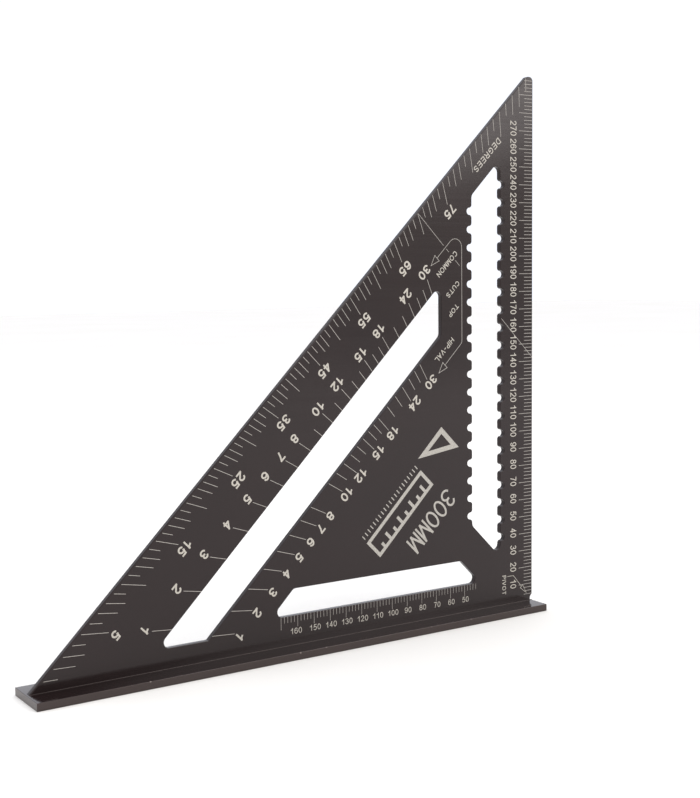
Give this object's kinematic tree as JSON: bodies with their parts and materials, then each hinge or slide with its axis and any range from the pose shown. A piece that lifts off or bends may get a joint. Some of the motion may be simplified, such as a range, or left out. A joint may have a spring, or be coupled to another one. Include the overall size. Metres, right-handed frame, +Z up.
{
  "type": "speed square",
  "caption": "Black anodised triangular rafter square: a windowed 45 degree blade with scribing notches and scales on a flat T fence.",
  "frame": {"origin": "middle of the fence's underside, which is the bottom centre of the whole tool", "axes": "+X along the fence towards the vertical ruled edge, +Y through the blade towards its back, +Z up from the fence to the blade's tip"},
  "size_m": [0.3056, 0.029, 0.3043],
  "materials": {
    "blade_anodised": "satin black anodised",
    "fence_anodised": "satin black anodised",
    "engraved_marks": "matt off-white laser-etched marks"
  },
  "bodies": {
    "root": {"blade": "blade_anodised", "fence": "fence_anodised"}
  },
  "joints": []
}
